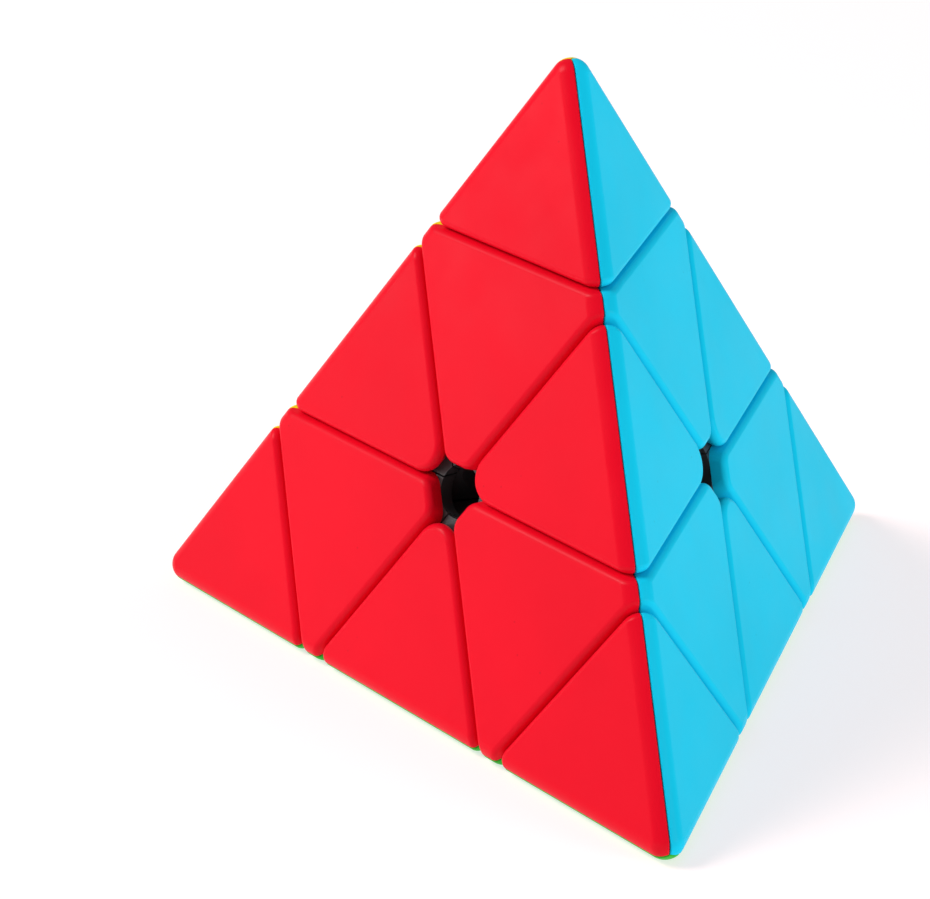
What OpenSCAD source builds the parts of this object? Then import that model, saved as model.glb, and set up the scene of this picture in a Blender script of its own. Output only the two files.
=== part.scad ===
// Pyramid twisty puzzle: four turning corner layers, each with a free-turning tip.
// Origin: centre of the core, where the four turning axes cross. +Z runs up to the
// top corner, and the puzzle stands on the face below. Units are millimetres.

/* [Overall] */
// Length of one edge of the pyramid, measured over its rounded corners
edge_length = 95.25; // [90:0.25:100]
// Radius of the long outer ridges and of the four corners
ridge_r = 2.4; // [1.8:0.1:2.6]
// Radius of the borders on each side of a groove
groove_r = 1.0; // [0.7:0.1:1.2]
// Gap between neighbouring pieces that turn past each other
gap = 0.2; // [0.16:0.02:0.3]
// Radius of the opening left at the middle of each face
face_hole_r = 3.4; // [3:0.2:4.2]

/* [Coloured shells] */
// Wall of the coloured shells
shell_t = 1.8; // [1.5:0.1:2]
// Depth of the shells' skirts below the face
skirt_h = 5; // [4.5:0.1:5.5]
// Depth of their rims at the openings, where the inner frames stand under them
rim_t = 2.2; // [2.1:0.1:2.6]

/* [Inner mechanism] */
// Radius of the core ball
core_r = 11.8; // [11.6:0.05:11.8]
// Radius of the sphere between the edge feet and the domes over them
dome_r = 17; // [16.8:0.1:17.2]
// Wall of the domes over the edge feet
dome_t = 2; // [1.8:0.1:2.2]
// Distance from the centre to the flat cuts between the edge feet
foot_d = 2.2; // [2:0.1:2.4]
// Radius of the tube that carries a corner centre on its axis
tube_r = 5.4; // [5.2:0.1:5.5]
// Radius of the tip's stem, which turns in that tube
stem_r = 3; // [2.8:0.1:3]
// Depth of the stem below the tip
stem_h = 8; // [6:0.5:9]
// Radial running clearance of the stem and of the screw in their bores
fit = 0.05; // [0.03:0.01:0.08]
// Thickness of the inner ribs
rib_t = 1.6; // [1.4:0.1:2]

/* [Screws and springs] */
// Radius of the tension screws' shanks
screw_r = 1.5; // [1.4:0.05:1.5]
// Radius and height of their pan heads
head_r = 2.7; // [2.5:0.1:2.8]
head_h = 1.9; // [1.6:0.1:2]
// Depth to which each screw bites into the core
bite = 7.2; // [6:0.1:7.5]
// Radius of the bore that each screw cuts its thread in
pilot_r = 1.35; // [1.3:0.01:1.4]
// Wire radius, coil radius and number of turns of the springs
wire_r = 0.35; // [0.3:0.01:0.4]
coil_r = 2.3; // [2.2:0.05:2.4]
coil_turns = 5; // [4:1:6]
// Height of a spring under load
spring_h = 4.6; // [4.4:0.1:4.8]
// Radius and thickness of the washers
washer_r = 2.9; // [2.8:0.05:3]
washer_t = 0.5; // [0.4:0.1:0.6]

/* [Hidden] */
$fn = 72;
FAR = 200;                                    // larger than anything here
inner_r = 1.2;                                // of the flats inside the ridges
hole_depth = 10;                              // of the opening in each face
corner_tilt = 33;                             // of the flats round a corner's end flat
TETRA = acos(-1 / 3);                         // angle between two turning axes
EDGE_TILT = TETRA / 2;                        // from the top corner to the middle of an edge
CORNERS = ["top", "left", "front", "right"];
AZIMUTH = [0, 150, -90, 30];                  // of the corners, seen from above
COLOURS = ["green", "blue", "yellow", "red"]; // of the faces opposite them
TINTS = [[0.13, 0.62, 0.16], [0.14, 0.78, 0.93], [0.98, 0.86, 0.10], [0.96, 0.10, 0.16]];
DARK = [0.13, 0.13, 0.14];
STEEL = [0.72, 0.73, 0.75];
EDGES = [[0, 1], [0, 2], [0, 3], [1, 2], [2, 3], [3, 1]];

// The sharp pyramid that the rounded one is cut from
corner_cut = sqrt(6) - 1;                     // length lost at a corner, per ridge_r
sharp_edge = edge_length + 2 * corner_cut * ridge_r;
height = sharp_edge * sqrt(2 / 3);
face_d = height / 4;                          // centre to each face
corner_d = 3 * height / 4;                    // centre to each sharp corner
layer_d = height / 12;                        // centre to each layer's cut
tip_d = 5 * height / 12;                      // centre to each tip's cut

// Stations along a turning axis
tip_base = tip_d + gap / 2;
centre_top = tip_d - gap / 2;
floor_t = 2;                                  // floor of the cup in the tip
spring_z = tip_base + floor_t + fit;
washer_z = spring_z + spring_h;
head_z = washer_z + washer_t;
cup_room = 0.2;                               // round the washer in the tip's cup
cup_r = washer_r + cup_room;
cup_wall = 1;
cup_top = head_z + head_h + 2 * cup_room;
stem_end = tip_base - stem_h;

// The frames stand under the shells' rims out to where a skirt clears the inner domes
rim_reach = pow(dome_r + gap, 2) - pow(face_d - skirt_h, 2);
rim_r = max(face_hole_r + shell_t, sqrt(max(0, rim_reach)));

// Cross recess in the screws' heads
recess_l = 3;
recess_w = 0.7;
recess_depth = 0.9;

function corner_dir(c) =
    c == 0 ? [0, 0, 1]
           : [sin(TETRA) * cos(AZIMUTH[c]), sin(TETRA) * sin(AZIMUTH[c]), -1 / 3];

// The face that piece side f of the top corner becomes once it stands at corner c
function face_at(c, f) = c == 0 ? f : f == c ? 0 : 6 - c - f;

// A plane is [outward normal, distance from the centre]
function face_plane(f, inset = 0) = [-corner_dir(f), face_d - inset];
function under(c, d) = [corner_dir(c), d];
function over(c, d) = [-corner_dir(c), -d];
function in_plane(p, inset) = [p[0], p[1] - inset];

// Flats that round the edge between planes p and q to radius r
function rounding(p, q, r, flats = 3) =
    let (cosine = p[0] * q[0],
         turn = acos(cosine),
         a = (p[1] - r - cosine * (q[1] - r)) / (1 - cosine * cosine),
         b = (q[1] - r - cosine * (p[1] - r)) / (1 - cosine * cosine),
         axis_point = a * p[0] + b * q[0])
    [for (i = [1:flats])
        let (t = i / (flats + 1),
             n = (sin((1 - t) * turn) * p[0] + sin(t * turn) * q[0]) / sin(turn))
        [n, n * axis_point + r]];

// Flats that round the top corner to ridge_r
function corner_rounding() =
    let (ball = [0, 0, corner_d - 3 * ridge_r])
    [for (tilt = [0, corner_tilt], turn = [0:60:300])
        if (tilt > 0 || turn == 0)
            let (n = [sin(tilt) * cos(turn + 30), sin(tilt) * sin(turn + 30), cos(tilt)])
            [n, n * ball + ridge_r]];

// Solid side of one plane, and the solid shut in by a list of planes
module half_space(p) {
    rotate([0, acos(p[0][2]), atan2(p[0][1], p[0][0])])
        translate([-FAR / 2, -FAR / 2, p[1] - FAR])
            cube(FAR);
}

module shut_in(planes) {
    intersection_for(p = planes) half_space(p);
}

// The top corner's pieces carried to corner c
module at_corner(c) {
    if (c == 0) children();
    else rotate(180, corner_dir(0) + corner_dir(c)) children();
}

// The top-left edge's pieces carried to edge e
module at_edge(e) {
    if (e[0] == 0)
        rotate([0, 0, AZIMUTH[e[1]] - AZIMUTH[1]]) children();
    else
        at_corner(e[0])
            rotate([0, 0, AZIMUTH[6 - e[0] - e[1]] - AZIMUTH[1]]) children();
}

// Points along the axis of corner c
module along_axis(c) {
    rotate([0, acos(corner_dir(c)[2]), AZIMUTH[c]]) children();
}

// Ball about the centre, with its poles turned off the planes of symmetry
module ball(r) {
    rotate([60, 0, 20]) sphere(r);
}

module face_hole(f) {
    along_axis(f)
        translate([0, 0, -face_d - hole_depth]) cylinder(h = 2 * hole_depth, r = face_hole_r);
}

module rim_room(f) {
    along_axis(f)
        translate([0, 0, rim_t - face_d]) cylinder(h = hole_depth, r = rim_r);
}

// ---- Planes of the three kinds of piece, each standing at the top corner ----

function tip_planes(inset = 0) =
    [for (f = [1:3]) face_plane(f, inset), in_plane(over(0, tip_base), inset)];

function centre_planes(inset = 0) =
    [for (f = [1:3]) face_plane(f, inset),
     in_plane(under(0, centre_top), inset),
     in_plane(over(0, layer_d + gap / 2), inset),
     for (c = [1:3]) in_plane(under(c, layer_d - gap / 2), inset)];

function edge_planes(inset = 0) =
    [face_plane(2, inset), face_plane(3, inset),
     in_plane(over(0, layer_d + gap / 2), inset),
     in_plane(over(1, layer_d + gap / 2), inset)];

// The rooms inside their shells, with a flat inside each ridge
function ridge_flat(f, g) =
    rounding(face_plane(f, shell_t), face_plane(g, shell_t), inner_r, 1)[0];
function ridge_flats() = [ridge_flat(1, 2), ridge_flat(2, 3), ridge_flat(3, 1)];
function tip_room() = concat(tip_planes(shell_t), ridge_flats());
function centre_room() = concat(centre_planes(shell_t), ridge_flats());
function edge_room() = concat(edge_planes(shell_t), [ridge_flat(2, 3)]);

// A third of the top corner: the side that shows face f
function third(f) =
    let (a = AZIMUTH[f] + 180)
    [[[cos(a + 150), sin(a + 150), 0], 0], [[cos(a - 150), sin(a - 150), 0], 0]];

// Where the frames may be: flush with the cuts deep down, inside the shells above
module frame_room(flush_planes, inset_planes, faces) {
    shut_in(concat(flush_planes, [for (f = faces) face_plane(f, skirt_h)]));
    shut_in(inset_planes);
}

// A coloured shell: its outer form less the room inside, down to the skirt's depth
module shell(planes, f, inset_planes) {
    skirt = [corner_dir(f), skirt_h - face_d];
    difference() {
        shut_in(concat(planes, [skirt]));
        shut_in(inset_planes);
    }
}

// ---- Tips ----

module tip_shell(c, f) {
    others = [for (g = [1:3]) if (g != f) g];
    color(TINTS[face_at(c, f)])
        at_corner(c)
            shell(concat(tip_planes(), third(f), corner_rounding(),
                         rounding(face_plane(f), over(0, tip_base), groove_r),
                         rounding(face_plane(f), face_plane(others[0]), ridge_r),
                         rounding(face_plane(f), face_plane(others[1]), ridge_r)),
                  f, tip_room());
}

module tip_frame(c) {
    color(DARK)
        at_corner(c) {
            difference() {
                union() {
                    shut_in(concat([for (f = [1:3]) face_plane(f, skirt_h)],
                                   [over(0, tip_base), under(0, tip_base + floor_t)]));
                    intersection() {
                        shut_in(tip_room());
                        union() {
                            tip_ribs();
                            translate([0, 0, tip_base])
                                cylinder(h = cup_top - tip_base, r = cup_r + cup_wall);
                        }
                    }
                    translate([0, 0, stem_end]) cylinder(h = stem_h + 1, r = stem_r);
                }
                cylinder(h = FAR, r = screw_r + 4 * fit);
                translate([0, 0, tip_base + floor_t]) cylinder(h = FAR, r = cup_r);
            }
        }
}

// Three ribs that hold the shells of a tip up, one under each ridge
module tip_ribs() {
    for (c = [1:3])
        rotate([0, 0, AZIMUTH[c]])
            translate([cup_r, -rib_t / 2, tip_base])
                cube([FAR / 8, rib_t, cup_top - tip_base]);
}

// ---- Corner centres ----

module centre_shell(c, f) {
    others = [for (g = [1:3]) if (g != f) g];
    cut = layer_d - gap / 2;
    color(TINTS[face_at(c, f)])
        at_corner(c)
            difference() {
                shell(concat(centre_planes(), third(f),
                             rounding(face_plane(f), under(0, centre_top), groove_r),
                             rounding(face_plane(f), under(others[0], cut), groove_r),
                             rounding(face_plane(f), under(others[1], cut), groove_r),
                             rounding(face_plane(f), face_plane(others[0]), ridge_r),
                             rounding(face_plane(f), face_plane(others[1]), ridge_r)),
                      f, centre_room());
                face_hole(f);
                rim_room(f);
            }
}

module centre_frame(c) {
    color(DARK)
        at_corner(c)
            difference() {
                union() {
                    difference() {
                        union() {
                            intersection() {
                                frame_room(centre_planes(), centre_room(), [1, 2, 3]);
                                union() {
                                    ball(dome_r + gap / 2 + dome_t);
                                    centre_ribs();
                                    half_space(over(0, centre_top - floor_t));
                                }
                            }
                            intersection() {
                                shut_in(centre_planes());
                                for (f = [1:3]) rim_room(f);
                            }
                        }
                        ball(dome_r + gap / 2);
                        for (f = [1:3]) face_hole(f);
                    }
                    intersection() {
                        cylinder(h = centre_top - floor_t / 2, r = tube_r);
                        half_space(over(0, core_r / 2));
                    }
                }
                ball(core_r + gap);
                cylinder(h = FAR, r = screw_r + fit);
                translate([0, 0, stem_end - gap]) cylinder(h = FAR, r = stem_r + fit);
            }
}

// Three ribs from the tube out to the shells, one under each ridge
module centre_ribs() {
    for (c = [1:3])
        rotate([0, 0, AZIMUTH[c]])
            translate([0, -rib_t / 2, 0]) cube([FAR / 4, rib_t, FAR / 4]);
}

// ---- Edges: the top-left one lies between faces 2 and 3 ----

module edge_shell(e, f) {
    other = 5 - f;
    split = (corner_dir(f) - corner_dir(other)) / norm(corner_dir(f) - corner_dir(other));
    color(TINTS[edge_face(e, f)])
        at_edge(e)
            difference() {
                shell(concat(edge_planes(), [[split, 0]],
                             rounding(face_plane(f), over(0, layer_d + gap / 2), groove_r),
                             rounding(face_plane(f), over(1, layer_d + gap / 2), groove_r),
                             rounding(face_plane(f), face_plane(other), ridge_r)),
                      f, edge_room());
                face_hole(f);
                rim_room(f);
            }
}

// The face that side f of the top-left edge becomes once it stands at edge e
function edge_face(e, f) =
    e[0] == 0 ? turned_face(e[1], f) : face_at(e[0], turned_face(6 - e[0] - e[1], f));
function turned_face(c, f) = (f - 1 + c - 1) % 3 + 1;

module edge_frame(e) {
    color(DARK)
        at_edge(e)
            difference() {
                union() {
                    edge_body();
                    edge_foot();
                }
                for (f = [2, 3]) {
                    face_hole(f);
                    intersection() {
                        ball(dome_r + gap / 2);
                        half_space(over(f, foot_d - gap / 2));
                    }
                }
            }
}

// What stands between and above the domes: a neck, a curved floor and crossed ribs
module edge_body() {
    neck_h = 1.5;
    difference() {
        union() {
            intersection() {
                frame_room(edge_planes(), edge_room(), [2, 3]);
                union() {
                    ball(dome_r + gap / 2 + dome_t);
                    edge_ribs();
                }
            }
            intersection() {
                shut_in(edge_planes());
                for (f = [2, 3]) rim_room(f);
            }
        }
        ball(dome_r - neck_h);
    }
}

// One rib under the ridge and one across it
module edge_ribs() {
    rotate([0, EDGE_TILT, AZIMUTH[1]]) {
        translate([0, 0, FAR / 4]) cube([FAR / 2, rib_t, FAR / 2], center = true);
        translate([0, 0, FAR / 4]) cube([rib_t, FAR / 2, FAR / 2], center = true);
    }
}

// The foot that the layer's domes hold down on the core
module edge_foot() {
    difference() {
        intersection() {
            ball(dome_r - gap / 2);
            half_space(over(0, foot_d + gap / 2));
            half_space(over(1, foot_d + gap / 2));
        }
        ball(core_r + gap);
    }
}

// ---- Core, screws, springs and washers ----

module core_ball() {
    color(DARK)
        difference() {
            sphere(core_r);
            for (c = [0:3])
                along_axis(c)
                    translate([0, 0, core_r - bite]) cylinder(h = core_r, r = pilot_r);
        }
}

module tension_screws() {
    color(STEEL)
        for (c = [0:3])
            along_axis(c) {
                translate([0, 0, core_r - bite])
                    cylinder(h = head_z - core_r + bite, r = screw_r);
                difference() {
                    translate([0, 0, head_z]) cylinder(h = head_h, r = head_r);
                    for (turn = [0, 90])
                        rotate([0, 0, turn])
                            translate([0, 0, head_z + head_h])
                                cube([recess_l, recess_w, 2 * recess_depth], center = true);
                }
            }
}

module spring_washers() {
    color(STEEL)
        for (c = [0:3])
            along_axis(c)
                translate([0, 0, washer_z])
                    difference() {
                        cylinder(h = washer_t, r = washer_r);
                        cylinder(h = 3 * washer_t, r = screw_r + fit, center = true);
                    }
}

module tension_springs() {
    sides = 6;
    steps_a_turn = 16;
    steps = steps_a_turn * coil_turns;
    rise = spring_h - 2 * wire_r - 2 * fit;
    points = [for (i = [0:steps], s = [0:sides - 1])
        let (turn = 360 * coil_turns * i / steps, round = 360 * s / sides,
             r = coil_r + wire_r * cos(round))
        [r * cos(turn), r * sin(turn), wire_r + rise * i / steps + wire_r * sin(round)]];
    walls = [for (i = [0:steps - 1], s = [0:sides - 1])
        let (a = i * sides + s, b = i * sides + (s + 1) % sides)
        [a, b, b + sides, a + sides]];
    ends = [[for (s = [sides - 1:-1:0]) s], [for (s = [0:sides - 1]) steps * sides + s]];
    color(STEEL)
        for (c = [0:3])
            along_axis(c)
                translate([0, 0, spring_z]) polyhedron(points, concat(walls, ends));
}

// ---- Node names and drawing ----

function edge_name(e) = str(CORNERS[e[0]], "_", CORNERS[e[1]]);

core_ball();
tension_screws();
tension_springs();
spring_washers();
for (c = [0:3])
    tip_frame(c);
for (c = [0:3])
    centre_frame(c);
for (e = EDGES)
    edge_frame(e);
for (c = [0:3], f = [1:3])
    tip_shell(c, f);
for (c = [0:3], f = [1:3])
    centre_shell(c, f);
for (e = EDGES, f = [2:3])
    edge_shell(e, f);
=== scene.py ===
import math

import bmesh
import bpy
from mathutils import Matrix, Vector


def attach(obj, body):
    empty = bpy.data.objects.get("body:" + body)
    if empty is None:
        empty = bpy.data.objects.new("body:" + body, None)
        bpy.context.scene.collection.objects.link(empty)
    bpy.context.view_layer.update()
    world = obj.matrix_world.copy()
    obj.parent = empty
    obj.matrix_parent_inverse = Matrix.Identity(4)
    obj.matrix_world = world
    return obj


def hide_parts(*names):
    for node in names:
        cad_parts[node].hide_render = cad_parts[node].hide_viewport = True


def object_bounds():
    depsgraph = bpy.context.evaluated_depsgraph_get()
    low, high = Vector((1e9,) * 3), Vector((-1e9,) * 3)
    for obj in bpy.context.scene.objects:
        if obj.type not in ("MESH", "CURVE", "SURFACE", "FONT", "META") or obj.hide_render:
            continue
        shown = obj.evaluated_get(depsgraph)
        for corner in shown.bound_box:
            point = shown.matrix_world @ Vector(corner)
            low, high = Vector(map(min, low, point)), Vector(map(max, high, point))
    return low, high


# ---------------------------------------------------------------- frame and sizes, in mm

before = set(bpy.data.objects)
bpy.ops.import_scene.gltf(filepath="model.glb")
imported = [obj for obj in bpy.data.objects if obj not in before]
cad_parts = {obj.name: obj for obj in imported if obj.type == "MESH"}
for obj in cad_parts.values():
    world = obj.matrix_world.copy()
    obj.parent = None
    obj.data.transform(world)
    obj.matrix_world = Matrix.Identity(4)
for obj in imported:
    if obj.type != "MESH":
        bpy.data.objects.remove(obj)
cad_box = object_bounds()

MM = 0.001
EDGE_LENGTH = 95.25                      # over the rounded corners
RIDGE_R = 2.4                            # of the pyramid that the CAD is cut from
SHARP_EDGE = EDGE_LENGTH + 2 * (math.sqrt(6) - 1) * RIDGE_R
HEIGHT = SHARP_EDGE * math.sqrt(2 / 3)
FACE_D = HEIGHT / 4
CORNER_D = 3 * HEIGHT / 4
LAYER_D = HEIGHT / 12
TIP_D = 5 * HEIGHT / 12

GAP = 0.14                               # between neighbouring pieces
PARTING = 0.05                           # each coloured side stands back from its ridge
PARTING_R = 0.18                         # edge break along the parting line
GROOVE_R = 1.0                           # borders along the grooves
TIP_RIDGE_R = 2.4
BODY_RIDGE_R = 2.5                       # ridges of the edges and the corner centres
HOLE_R = 3.6                             # edge facets' corners at the middle of a face
HOLE_D = 3.3                             # from that middle to the corner centres' flat ends
HOLE_CORNER_R = 2.1                      # on both sides of those ends
WALL = 1.8
ROOM_R = 3.0                             # ridges of the room inside the shells
ROOM_FLATS = 3
SKIRT = 5.0
RIM_T = 2.2                              # depth of the shells' rims at the openings
RIM_R = 6.65                             # out to here the frames stand under the rims

CORNERS = ("top", "left", "front", "right")
AZIMUTH = (0, 150, -90, 30)
COLOURS = ("green", "blue", "yellow", "red")   # of the faces opposite the corners
EDGES = ((0, 1), (0, 2), (0, 3), (1, 2), (2, 3), (3, 1))


def corner_dir(c):
    if c == 0:
        return Vector((0, 0, 1))
    a, s = math.radians(AZIMUTH[c]), math.sqrt(8) / 3
    return Vector((s * math.cos(a), s * math.sin(a), -1 / 3))


V = [corner_dir(c) for c in range(4)]


def face_at(c, f):
    return f if c == 0 else 0 if f == c else 6 - c - f


def turned_face(c, f):
    return (f - 1 + c - 1) % 3 + 1


def edge_face(e, f):
    if e[0] == 0:
        return turned_face(e[1], f)
    return face_at(e[0], turned_face(6 - e[0] - e[1], f))


def at_corner(c):
    """Carries the top corner's pieces to corner c."""
    return Matrix.Identity(4) if c == 0 else Matrix.Rotation(math.pi, 4, (V[0] + V[c]).normalized())


def turn_z(degrees):
    return Matrix.Rotation(math.radians(degrees), 4, "Z")


def at_edge(e):
    """Carries the top-left edge's pieces to edge e."""
    if e[0] == 0:
        return turn_z(AZIMUTH[e[1]] - AZIMUTH[1])
    return at_corner(e[0]) @ turn_z(AZIMUTH[6 - e[0] - e[1]] - AZIMUTH[1])


# ---------------------------------------------------------------- convex forms from planes
# A plane is (outward normal, distance from the centre). A form is a dict of plane index to
# the loop of corners of its facet.

TINY = 1e-7
SAME_POINT = 1e-5
START_BOX = 150.0                        # half the side of the cube that planes are cut from


def clip(form, key, plane):
    """Cuts the form with one more plane and closes the cut."""
    n, d = plane
    made, rim = {}, []
    for k, loop in form.items():
        out = []
        side = [n.dot(p) - d for p in loop]
        if max(side) <= TINY:
            made[k] = loop
            continue
        for i, p in enumerate(loop):
            j = (i + 1) % len(loop)
            if side[i] <= TINY:
                out.append(p)
            if (side[i] <= TINY) != (side[j] <= TINY):
                q = p.lerp(loop[j], side[i] / (side[i] - side[j]))
                out.append(q)
                rim.append(q)
        if len(out) > 2:
            made[k] = out
    if len(rim) > 2:
        middle = sum(rim, Vector()) / len(rim)
        u = n.orthogonal().normalized()
        v = n.cross(u)
        rim.sort(key=lambda p: math.atan2((p - middle).dot(v), (p - middle).dot(u)))
        loop = []
        for p in rim:
            if not loop or (p - loop[-1]).length > SAME_POINT:
                loop.append(p)
        if (loop[0] - loop[-1]).length < SAME_POINT:
            loop.pop()
        if len(loop) > 2:
            made[key] = loop
    return made


def solid(planes):
    """The convex form shut in by all the planes."""
    s = START_BOX
    box = {}
    for a in range(3):
        for sign in (-1, 1):
            u, v = (a + 1) % 3, (a + 2) % 3
            loop = []
            for cu, cv in ((-1, -1), (1, -1), (1, 1), (-1, 1)):
                p = [0, 0, 0]
                p[a], p[u], p[v] = sign * s, cu * s * sign, cv * s
                loop.append(Vector(p))
            box[("box", a, sign)] = loop
    for i, plane in enumerate(planes):
        box = clip(box, i, plane)
    return box


def over(c, d):
    return (-V[c], -d)


def under(c, d):
    return (V[c].copy(), d)


def face_plane(f, inset=0.0):
    return (-V[f], FACE_D - inset)


def inset(planes, t):
    return [(n, d - t) for n, d in planes]


def rounding(p, q, r, flats):
    """Planes tangent to the roll of radius r that lies along the edge of p and q."""
    c = p[0].dot(q[0])
    if c > 0.9998:
        return []
    turn = math.acos(c)
    a = (p[1] - r - c * (q[1] - r)) / (1 - c * c)
    b = (q[1] - r - c * (p[1] - r)) / (1 - c * c)
    on_axis = a * p[0] + b * q[0]
    made = []
    for i in range(1, flats + 1):
        t = i / (flats + 1)
        n = (math.sin((1 - t) * turn) * p[0] + math.sin(t * turn) * q[0]) / math.sin(turn)
        made.append((n, n.dot(on_axis) + r))
    return made


def touching(planes, cut):
    """Which planes meet the plane `cut` on the form they shut in."""
    form = solid(planes + [cut])
    last = form.get(len(planes), [])
    near = []
    for i in range(len(planes)):
        if i in form:
            shared = [p for p in form[i] if any((p - q).length < 1e-4 for q in last)]
            if len(shared) > 1:
                near.append(i)
    return near


def rounded(contour, cuts, r, flats):
    """The contour's planes closed by the cuts, with every edge along a cut rolled to r."""
    planes = list(contour)
    for cut in cuts:
        others = [c for c in cuts if c is not cut]
        for i in touching(contour + others, cut):
            if i < len(contour):
                planes += rounding(contour[i], cut, r, flats)
    return planes + list(cuts)


def mesh_from(form, name):
    bm = bmesh.new()
    for loop in form.values():
        verts = [bm.verts.new(p * MM) for p in loop]
        bm.faces.new(verts)
    bmesh.ops.remove_doubles(bm, verts=bm.verts, dist=2e-4 * MM)
    bmesh.ops.dissolve_degenerate(bm, edges=bm.edges, dist=1e-4 * MM)
    bmesh.ops.recalc_face_normals(bm, faces=bm.faces)
    me = bpy.data.meshes.new(name)
    bm.to_mesh(me)
    bm.free()
    return me


def link(name, me):
    o = bpy.data.objects.new(name, me)
    bpy.context.scene.collection.objects.link(o)
    return o


def evaluated(o):
    """The object's mesh with its modifiers applied."""
    bpy.context.view_layer.update()
    dg = bpy.context.evaluated_depsgraph_get()
    return bpy.data.meshes.new_from_object(o.evaluated_get(dg))


def carve(outer, inner, name):
    """outer less inner, as a mesh."""
    a, b = link(name + "_outer", outer), link(name + "_inner", inner)
    m = a.modifiers.new("room", "BOOLEAN")
    m.operation, m.solver, m.object = "DIFFERENCE", "EXACT", b
    me = evaluated(a)
    for o in (a, b):
        bpy.data.objects.remove(o)
    me.name = name
    return me


SMOOTH_ANGLE = math.radians(24)


def soften(me):
    """Smooth shading over the rolled edges, led by the broad facets, and sharp elsewhere."""
    for p in me.polygons:
        p.use_smooth = True
    me.set_sharp_from_angle(angle=SMOOTH_ANGLE)
    o = link("soften", me)
    m = o.modifiers.new("weighted", "WEIGHTED_NORMAL")
    m.mode, m.weight, m.keep_sharp = "FACE_AREA", 50, True
    made = evaluated(o)
    bpy.data.objects.remove(o)
    made.name = me.name
    return made


# ---------------------------------------------------------------- the three kinds of shell

def wedge(f):
    """The two planes through the top corner's axis that part face f's side from the others."""
    a = math.radians(AZIMUTH[f] + 180)
    return [(Vector((math.cos(a + s), math.sin(a + s), 0)), -PARTING)
            for s in (math.radians(150), math.radians(-150))]


def ridge_contour(faces, r, flats=14):
    made = [face_plane(f) for f in faces]
    pairs = [(a, b) for i, a in enumerate(faces) for b in faces[i + 1:]]
    for a, b in pairs:
        made += rounding(face_plane(a), face_plane(b), r, flats)
    return made


def corner_ball(r):
    """Planes tangent to the ball that closes the top corner."""
    centre = Vector((0, 0, CORNER_D - 3 * r))
    shares = Matrix([-V[1], -V[2], -V[3]]).transposed().inverted()
    made = []
    for tilt in range(0, 66, 7):
        count = max(1, 6 * round(tilt / 8))
        for i in range(count):
            a, t = 2 * math.pi * (i + 0.5) / count, math.radians(tilt)
            n = Vector((math.sin(t) * math.cos(a), math.sin(t) * math.sin(a), math.cos(t)))
            if min(shares @ n) > 0.02:
                made.append((n, n.dot(centre) + r))
    return made


def skirt_plane(f):
    return (V[f].copy(), SKIRT - FACE_D)


def side_of(planes, parts):
    """The planes of one coloured side: the form's own, the parting planes, and the edge
    break where they meet."""
    made = list(planes)
    for part in parts:
        for i in touching(planes, part):
            made += rounding(planes[i], part, PARTING_R, 2)
    return made + list(parts)


def rim_planes(face, sides=40):
    """A prism round the face's axis, from under the rims inwards."""
    u = V[face].orthogonal().normalized()
    w = V[face].cross(u)
    turns = [2 * math.pi * i / sides for i in range(sides)]
    return ([(math.cos(a) * u + math.sin(a) * w, RIM_R) for a in turns]
            + [(-V[face], FACE_D - RIM_T), (V[face].copy(), 2 * SKIRT - FACE_D)])


def shell_mesh(name, contour, cuts, parts, face, room, flats=6):
    planes = side_of(rounded(contour, cuts, GROOVE_R, flats), parts)
    me = mesh_from(solid(planes + [skirt_plane(face)]), name)
    rooms = [room + [(V[face].copy(), 3 * SKIRT - FACE_D)]]
    if len(cuts) > 1:
        rooms.append(rim_planes(face))
    for hollow in rooms:
        me = carve(me, mesh_from(solid(hollow), name + "_room"), name)
    return soften(me)


def room_ridges():
    """The rolls along the three ridges of the room inside a tip or a corner centre."""
    made = []
    for a, b in ((1, 2), (2, 3), (3, 1)):
        made += rounding(face_plane(a), face_plane(b), ROOM_R, ROOM_FLATS)
    return made


def tip_form():
    base = over(0, TIP_D + GAP / 2)
    contour = ridge_contour([1, 2, 3], TIP_RIDGE_R) + corner_ball(TIP_RIDGE_R)
    room = inset([face_plane(f) for f in (1, 2, 3)] + [base] + room_ridges(), WALL)
    return shell_mesh("tip_side", contour, [base], wedge(1), 1, room)


def hole_end(f, p, q):
    """The flat end square to face f, with small corners, between the cuts p and q."""
    end = (-(V[0] + V[f] / 3).normalized(), -HOLE_D)
    return rounding(p, end, HOLE_CORNER_R, 4) + [end] + rounding(end, q, HOLE_CORNER_R, 4)


def centre_form():
    top = under(0, TIP_D - GAP / 2)
    sides = [under(c, LAYER_D - GAP / 2) for c in (1, 2, 3)]
    cuts = [top] + sides
    for f, a, b in ((1, 1, 2), (2, 0, 2), (3, 0, 1)):
        cuts += hole_end(f, sides[a], sides[b])
    contour = ridge_contour([1, 2, 3], BODY_RIDGE_R)
    floor = over(0, LAYER_D + GAP / 2)
    room = inset([face_plane(f) for f in (1, 2, 3)] + cuts + [floor] + room_ridges(), WALL)
    return shell_mesh("centre_side", contour, cuts, wedge(1) + [floor], 1, room)


def edge_form():
    ends = [over(0, LAYER_D + GAP / 2), over(1, LAYER_D + GAP / 2)]
    cuts = ends + rounding(*ends, HOLE_R, 9)
    contour = ridge_contour([2, 3], BODY_RIDGE_R)
    split = (V[2] - V[3]).normalized()
    room = inset([face_plane(2), face_plane(3)] + cuts, WALL)
    room += inset(rounding(face_plane(2), face_plane(3), ROOM_R, ROOM_FLATS), WALL)
    return shell_mesh("edge_side", contour, cuts, [(split, -PARTING)], 2, room)


def place(name, me, matrix, body, node, material):
    copy = me.copy()
    copy.transform(matrix)
    copy.name = name
    copy.materials.clear()
    copy.materials.append(material)
    o = link(name, copy)
    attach(o, body)
    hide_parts(node)
    return o


# ---------------------------------------------------------------- materials

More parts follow.
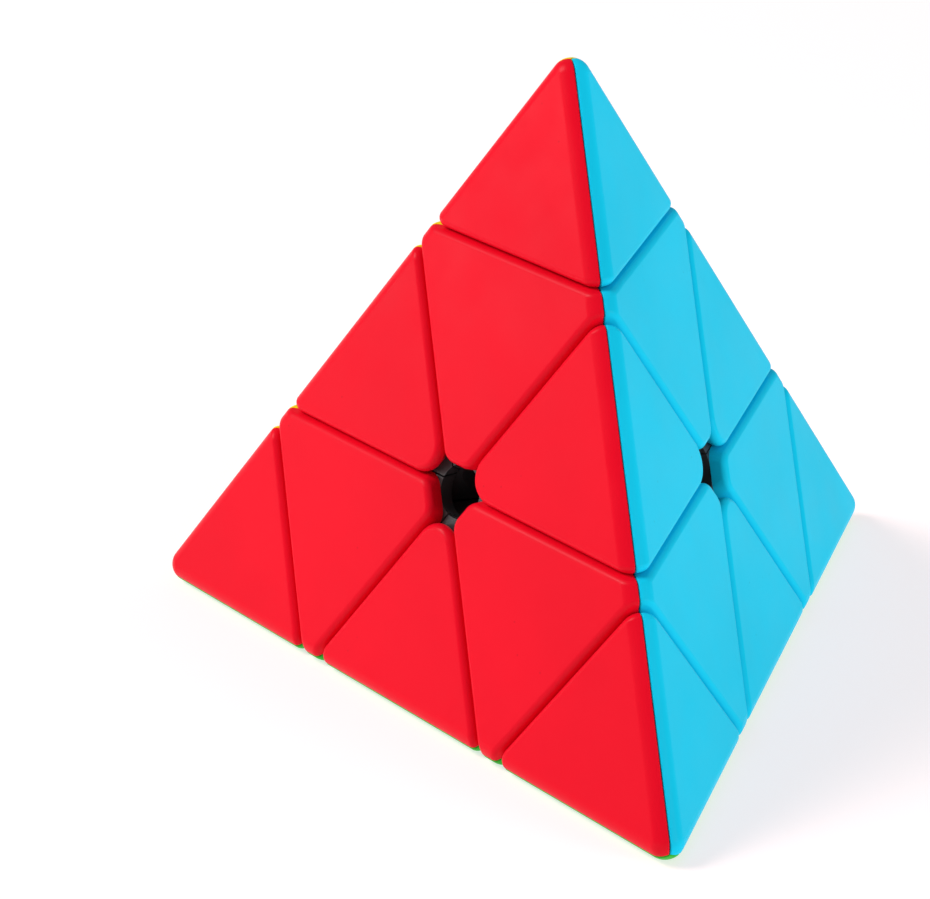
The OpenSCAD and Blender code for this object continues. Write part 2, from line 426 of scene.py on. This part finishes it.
def new_material(name):
    m = bpy.data.materials.new(name)
    m.use_nodes = True
    return m, m.node_tree.nodes, m.node_tree.links, m.node_tree.nodes["Principled BSDF"]


def noise(nodes, links, coords, scale, detail=2.0, rough=0.5):
    n = nodes.new("ShaderNodeTexNoise")
    n.inputs["Scale"].default_value = scale
    n.inputs["Detail"].default_value = detail
    n.inputs["Roughness"].default_value = rough
    links.new(coords, n.inputs["Vector"])
    return n.outputs["Fac"]


def ramp(nodes, links, source, stops):
    r = nodes.new("ShaderNodeValToRGB")
    links.new(source, r.inputs["Fac"])
    while len(r.color_ramp.elements) < len(stops):
        r.color_ramp.elements.new(0.5)
    for e, (at, colour) in zip(r.color_ramp.elements, stops):
        e.position, e.color = at, (*colour, 1)
    return r.outputs["Color"]


def grey(v):
    return (v, v, v)


def shade(colour, k):
    return tuple(min(1.0, c * k) for c in colour)


def plastic(name, colour, gloss=0.08, rough=0.34, speck=0.75):
    """Satin moulded plastic: fine grain, a faint flow, sparse specks in the pigment."""
    m, nodes, links, bsdf = new_material(name)
    coords = nodes.new("ShaderNodeTexCoord").outputs["Object"]
    flow = noise(nodes, links, coords, 38, 3)
    base = ramp(nodes, links, flow, [(0.3, shade(colour, 0.95)), (0.7, shade(colour, 1.04))])
    cells = nodes.new("ShaderNodeTexVoronoi")
    cells.inputs["Scale"].default_value = 420
    links.new(coords, cells.inputs["Vector"])
    spots = ramp(nodes, links, cells.outputs["Distance"], [(0.0, grey(1)), (0.075, grey(0))])
    some = ramp(nodes, links, noise(nodes, links, coords, 95, 1), [(0.56, grey(0)), (0.6, grey(1))])
    both = nodes.new("ShaderNodeMath")
    both.operation = "MULTIPLY"
    links.new(spots, both.inputs[0])
    links.new(some, both.inputs[1])
    mix = nodes.new("ShaderNodeMix")
    mix.data_type = "RGBA"
    links.new(both.outputs[0], mix.inputs["Factor"])
    links.new(base, mix.inputs["A"])
    mix.inputs["B"].default_value = (*shade(colour, speck), 1)
    links.new(mix.outputs["Result"], bsdf.inputs["Base Color"])
    sheen = noise(nodes, links, coords, 160, 4)
    r = ramp(nodes, links, sheen, [(0.3, grey(rough - 0.05)), (0.7, grey(rough + 0.07))])
    links.new(r, bsdf.inputs["Roughness"])
    grain = nodes.new("ShaderNodeBump")
    grain.inputs["Strength"].default_value = 0.12
    grain.inputs["Distance"].default_value = 0.00006
    links.new(noise(nodes, links, coords, 2600, 2), grain.inputs["Height"])
    links.new(grain.outputs["Normal"], bsdf.inputs["Normal"])
    bsdf.inputs["Specular IOR Level"].default_value = gloss
    return m


def steel(name):
    m, nodes, links, bsdf = new_material(name)
    coords = nodes.new("ShaderNodeTexCoord").outputs["Object"]
    plating = noise(nodes, links, coords, 300, 3)
    base = ramp(nodes, links, plating, [(0.3, (0.5, 0.51, 0.53)), (0.7, (0.66, 0.67, 0.69))])
    links.new(base, bsdf.inputs["Base Color"])
    bsdf.inputs["Metallic"].default_value = 1.0
    brushing = noise(nodes, links, coords, 900, 3)
    r = ramp(nodes, links, brushing, [(0.3, grey(0.22)), (0.7, grey(0.38))])
    links.new(r, bsdf.inputs["Roughness"])
    return m


PAINT = {
    "red": plastic("red_plastic", (0.80, 0.003, 0.018), gloss=0.075),
    "blue": plastic("blue_plastic", (0.006, 0.60, 0.86), gloss=0.025),
    "green": plastic("green_plastic", (0.045, 0.50, 0.04)),
    "yellow": plastic("yellow_plastic", (0.90, 0.72, 0.01)),
}
# near-black: the mechanism's own dark plastic, made darker still as painted shade inside the face
# openings
DARK = plastic("mechanism_plastic", (0.032, 0.033, 0.035), gloss=0.45, rough=0.3, speck=1.6)
STEEL = steel("plated_steel")

# ---------------------------------------------------------------- coloured sides

tip_side, centre_side, edge_side = tip_form(), centre_form(), edge_form()

for c in range(4):
    for f in (1, 2, 3):
        colour = COLOURS[face_at(c, f)]
        where = at_corner(c) @ turn_z(AZIMUTH[f] - AZIMUTH[1])
        tail = f"{CORNERS[c]}_{colour}"
        place(f"tip_side_{tail}", tip_side, where, f"tip_{CORNERS[c]}",
              f"tip_shell_{tail}", PAINT[colour])
        place(f"centre_side_{tail}", centre_side, where, f"centre_{CORNERS[c]}",
              f"centre_shell_{tail}", PAINT[colour])

half_turn = Matrix.Rotation(math.pi, 4, (V[0] + V[1]).normalized())
for e in EDGES:
    name = f"{CORNERS[e[0]]}_{CORNERS[e[1]]}"
    for f in (2, 3):
        colour = COLOURS[edge_face(e, f)]
        where = at_edge(e) @ (half_turn if f == 3 else Matrix.Identity(4))
        place(f"edge_side_{name}_{colour}", edge_side, where, f"edge_{name}",
              f"edge_shell_{name}_{colour}", PAINT[colour])

# ---------------------------------------------------------------- screws, springs, washers

SCREW_FOOT, SCREW_R, SCREW_ROOT_R = 4.6, 1.5, 1.12
SHANK_R = SCREW_R - 0.06
THREAD_TOP, THREAD_PITCH = 17.0, 1.0
LEAD_IN, RUN_OUT = 1.6, 1.2              # lengths over which the thread starts and dies away
SPRING_Z, SPRING_H, COIL_R, WIRE_R, COIL_TURNS = TIP_D + 0.1 + 2.05, 4.6, 2.3, 0.35, 5
WASHER_T, WASHER_R, WASHER_HOLE_R = 0.5, 2.9, 1.55
HEAD_Z, HEAD_R, HEAD_H = SPRING_Z + SPRING_H + WASHER_T, 2.7, 1.9
RECESS_L, RECESS_W, RECESS_DEPTH = 3.0, 0.7, 0.9


def skin(rings, name, loop=False):
    """A closed mesh over rings of points; the ends are fans unless the rings close up."""
    bm = bmesh.new()
    made = [[bm.verts.new(Vector(p) * MM) for p in ring] for ring in rings]
    sides = len(made[0])
    for i in range(len(made) if loop else len(made) - 1):
        a, b = made[i], made[(i + 1) % len(made)]
        for j in range(sides):
            k = (j + 1) % sides
            bm.faces.new((a[j], a[k], b[k], b[j]))
    if not loop:
        for ring, turned in ((made[0], True), (made[-1], False)):
            middle = bm.verts.new(sum((v.co for v in ring), Vector()) / sides)
            for j in range(sides):
                pair = (ring[j], ring[(j + 1) % sides])
                bm.faces.new((*(pair[::-1] if turned else pair), middle))
    bmesh.ops.recalc_face_normals(bm, faces=bm.faces)
    me = bpy.data.meshes.new(name)
    bm.to_mesh(me)
    bm.free()
    return me


def circle(r, z, sides):
    """Points round the axis at height z; r is a radius or a function of the turn, 0 to 1."""
    at = r if callable(r) else lambda t: r
    return [(at(j / sides) * math.cos(2 * math.pi * j / sides),
             at(j / sides) * math.sin(2 * math.pi * j / sides), z) for j in range(sides)]


def thread_radius(z):
    """Round the shank at height z: a sharp thread that runs out at both ends."""
    ramp_in = min(1.0, (z - SCREW_FOOT) / LEAD_IN)
    ramp_out = max(0.0, min(1.0, (THREAD_TOP - z) / RUN_OUT))

    def r(t):
        phase = (z / THREAD_PITCH - t) % 1.0
        crest = max(0.0, 1 - abs(phase - 0.5) * 2.6)
        root = SCREW_ROOT_R if ramp_out > 0 else SHANK_R
        root += (SHANK_R - root) * (1 - ramp_out)
        return (root + (SCREW_R - root) * crest * ramp_out) * (0.35 + 0.65 * ramp_in)
    return r


def screw_mesh():
    sides = 28
    rings, z = [], SCREW_FOOT
    while z < THREAD_TOP:
        rings.append(circle(thread_radius(z), z, sides))
        z += THREAD_PITCH / 7
    head = [(SHANK_R, HEAD_Z - 0.01), (HEAD_R - 0.15, HEAD_Z), (HEAD_R, HEAD_Z + 0.15),
            (HEAD_R, HEAD_Z + 0.85), (2.6, HEAD_Z + 1.25), (2.3, HEAD_Z + 1.58),
            (1.8, HEAD_Z + 1.78), (1.1, HEAD_Z + 1.88), (0.4, HEAD_Z + HEAD_H)]
    rings += [circle(SHANK_R, THREAD_TOP, sides)] + [circle(r, h, sides) for r, h in head]
    me = skin(rings, "screw")
    for a, b in ((RECESS_L, RECESS_W), (RECESS_W, RECESS_L)):
        bar = bmesh.new()
        for v in bmesh.ops.create_cube(bar, size=MM)["verts"]:
            low = 0.7 if v.co.z < 0 else 1.0
            v.co = Vector((v.co.x * a * low, v.co.y * b * low, v.co.z * 2 * RECESS_DEPTH))
            v.co.z += (HEAD_Z + HEAD_H) * MM
        slot = bpy.data.meshes.new("recess")
        bar.to_mesh(slot)
        bar.free()
        me = carve(me, slot, "screw")
    return soften(me)


def spring_mesh():
    sides, steps = 12, 28 * COIL_TURNS
    rise = SPRING_H - 2 * WIRE_R
    rings = []
    for i in range(steps + 1):
        t = i / steps
        turn = 2 * math.pi * COIL_TURNS * t
        lift = max(0.0, min(1.0, (t * COIL_TURNS - 0.5) / (COIL_TURNS - 1)))
        z = SPRING_Z + WIRE_R + rise * (0.06 * t + 0.94 * lift)
        ring = []
        for s in range(sides):
            a = 2 * math.pi * s / sides
            r = COIL_R + WIRE_R * math.cos(a)
            ring.append((r * math.cos(turn), r * math.sin(turn), z + WIRE_R * math.sin(a)))
        rings.append(ring)
    return soften(skin(rings, "spring"))


def washer_mesh():
    low, high, b = HEAD_Z - WASHER_T, HEAD_Z, 0.08
    profile = [(WASHER_HOLE_R, low + b), (WASHER_HOLE_R + b, low),
               (WASHER_R - b, low), (WASHER_R, low + b),
               (WASHER_R, high - b), (WASHER_R - b, high),
               (WASHER_HOLE_R + b, high), (WASHER_HOLE_R, high - b)]
    return soften(skin([circle(r, z, 64) for r, z in profile], "washer", loop=True))


for name, node, me in (("screw", "tension_screws", screw_mesh()),
                       ("spring", "tension_springs", spring_mesh()),
                       ("washer", "spring_washers", washer_mesh())):
    for c in range(4):
        place(f"{name}_{CORNERS[c]}", me, at_corner(c), "core", node, STEEL)

# ---------------------------------------------------------------- core and frames

for node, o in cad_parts.items():
    if node == "core_ball" or "_frame_" in node:
        o.data.materials.clear()
        o.data.materials.append(DARK)

# ---------------------------------------------------------------- floor, light, camera

floor_z = cad_box[0].z - 0.1 * MM         # clear of the base, which is flat
bm = bmesh.new()
bmesh.ops.create_grid(bm, x_segments=8, y_segments=8, size=3.0)
floor_mesh = bpy.data.meshes.new("floor")
bm.to_mesh(floor_mesh)
bm.free()
floor = link("floor", floor_mesh)
floor.location = (0, 0, floor_z)
fm, _, _, fb = new_material("floor_pale")
fb.inputs["Base Color"].default_value = (0.62, 0.46, 0.44, 1)
fb.inputs["Roughness"].default_value = 0.6
fb.inputs["Specular IOR Level"].default_value = 0.1
fb.inputs["Emission Color"].default_value = (0.92, 0.923, 0.954, 1)
fb.inputs["Emission Strength"].default_value = 0.665
floor_mesh.materials.append(fm)

world = bpy.data.worlds.new("studio")
bpy.context.scene.world = world
world.use_nodes = True
background = world.node_tree.nodes["Background"]
background.inputs["Color"].default_value = (1, 1, 1, 1)
background.inputs["Strength"].default_value = 0.3


def area(name, location, size, power, target=(0, 0, 0)):
    light = bpy.data.lights.new(name, "AREA")
    light.shape, light.size, light.energy = "SQUARE", size, power
    o = bpy.data.objects.new(name, light)
    bpy.context.scene.collection.objects.link(o)
    o.location = location
    o.rotation_euler = (Vector(target) - Vector(location)).to_track_quat("-Z", "Y").to_euler()
    return o


area("key", (-0.92, 0.20, 0.90), 0.5, 12.5)
area("fill", (0.90, -0.78, 0.30), 0.4, 6.9)
area("sheen", (-1.05, 0.28, 0.24), 0.3, 1.4)

# The photograph's own view: turn and tilt, then distance and aim in lengths of the sharp edge.
VIEW_TURN, VIEW_TILT = math.radians(-13.308), math.radians(24.0085)
VIEW_DISTANCE, VIEW_LEFT, VIEW_DOWN = 3.77247, 0.122327, 0.0926348
SENSOR, LENS = 36.0, 120.0
A = SHARP_EDGE * MM
back = Vector((math.sin(VIEW_TURN) * math.cos(VIEW_TILT),
               -math.cos(VIEW_TURN) * math.cos(VIEW_TILT),
               math.sin(VIEW_TILT)))
right = (-back).cross(Vector((0, 0, 1))).normalized()
up = right.cross(-back)
aim = Vector((0, 0, 0.2 * HEIGHT * MM))
eye = aim + VIEW_DISTANCE * A * back
look = aim - VIEW_LEFT * A * right - VIEW_DOWN * A * up - eye
cam_data = bpy.data.cameras.new("camera")
cam = bpy.data.objects.new("camera", cam_data)
bpy.context.scene.collection.objects.link(cam)
bpy.context.scene.camera = cam
cam_data.sensor_width = SENSOR
cam_data.lens = LENS
cam.location = eye
cam.rotation_euler = look.to_track_quat("-Z", "Y").to_euler()
bpy.context.scene.view_settings.view_transform = "Standard"
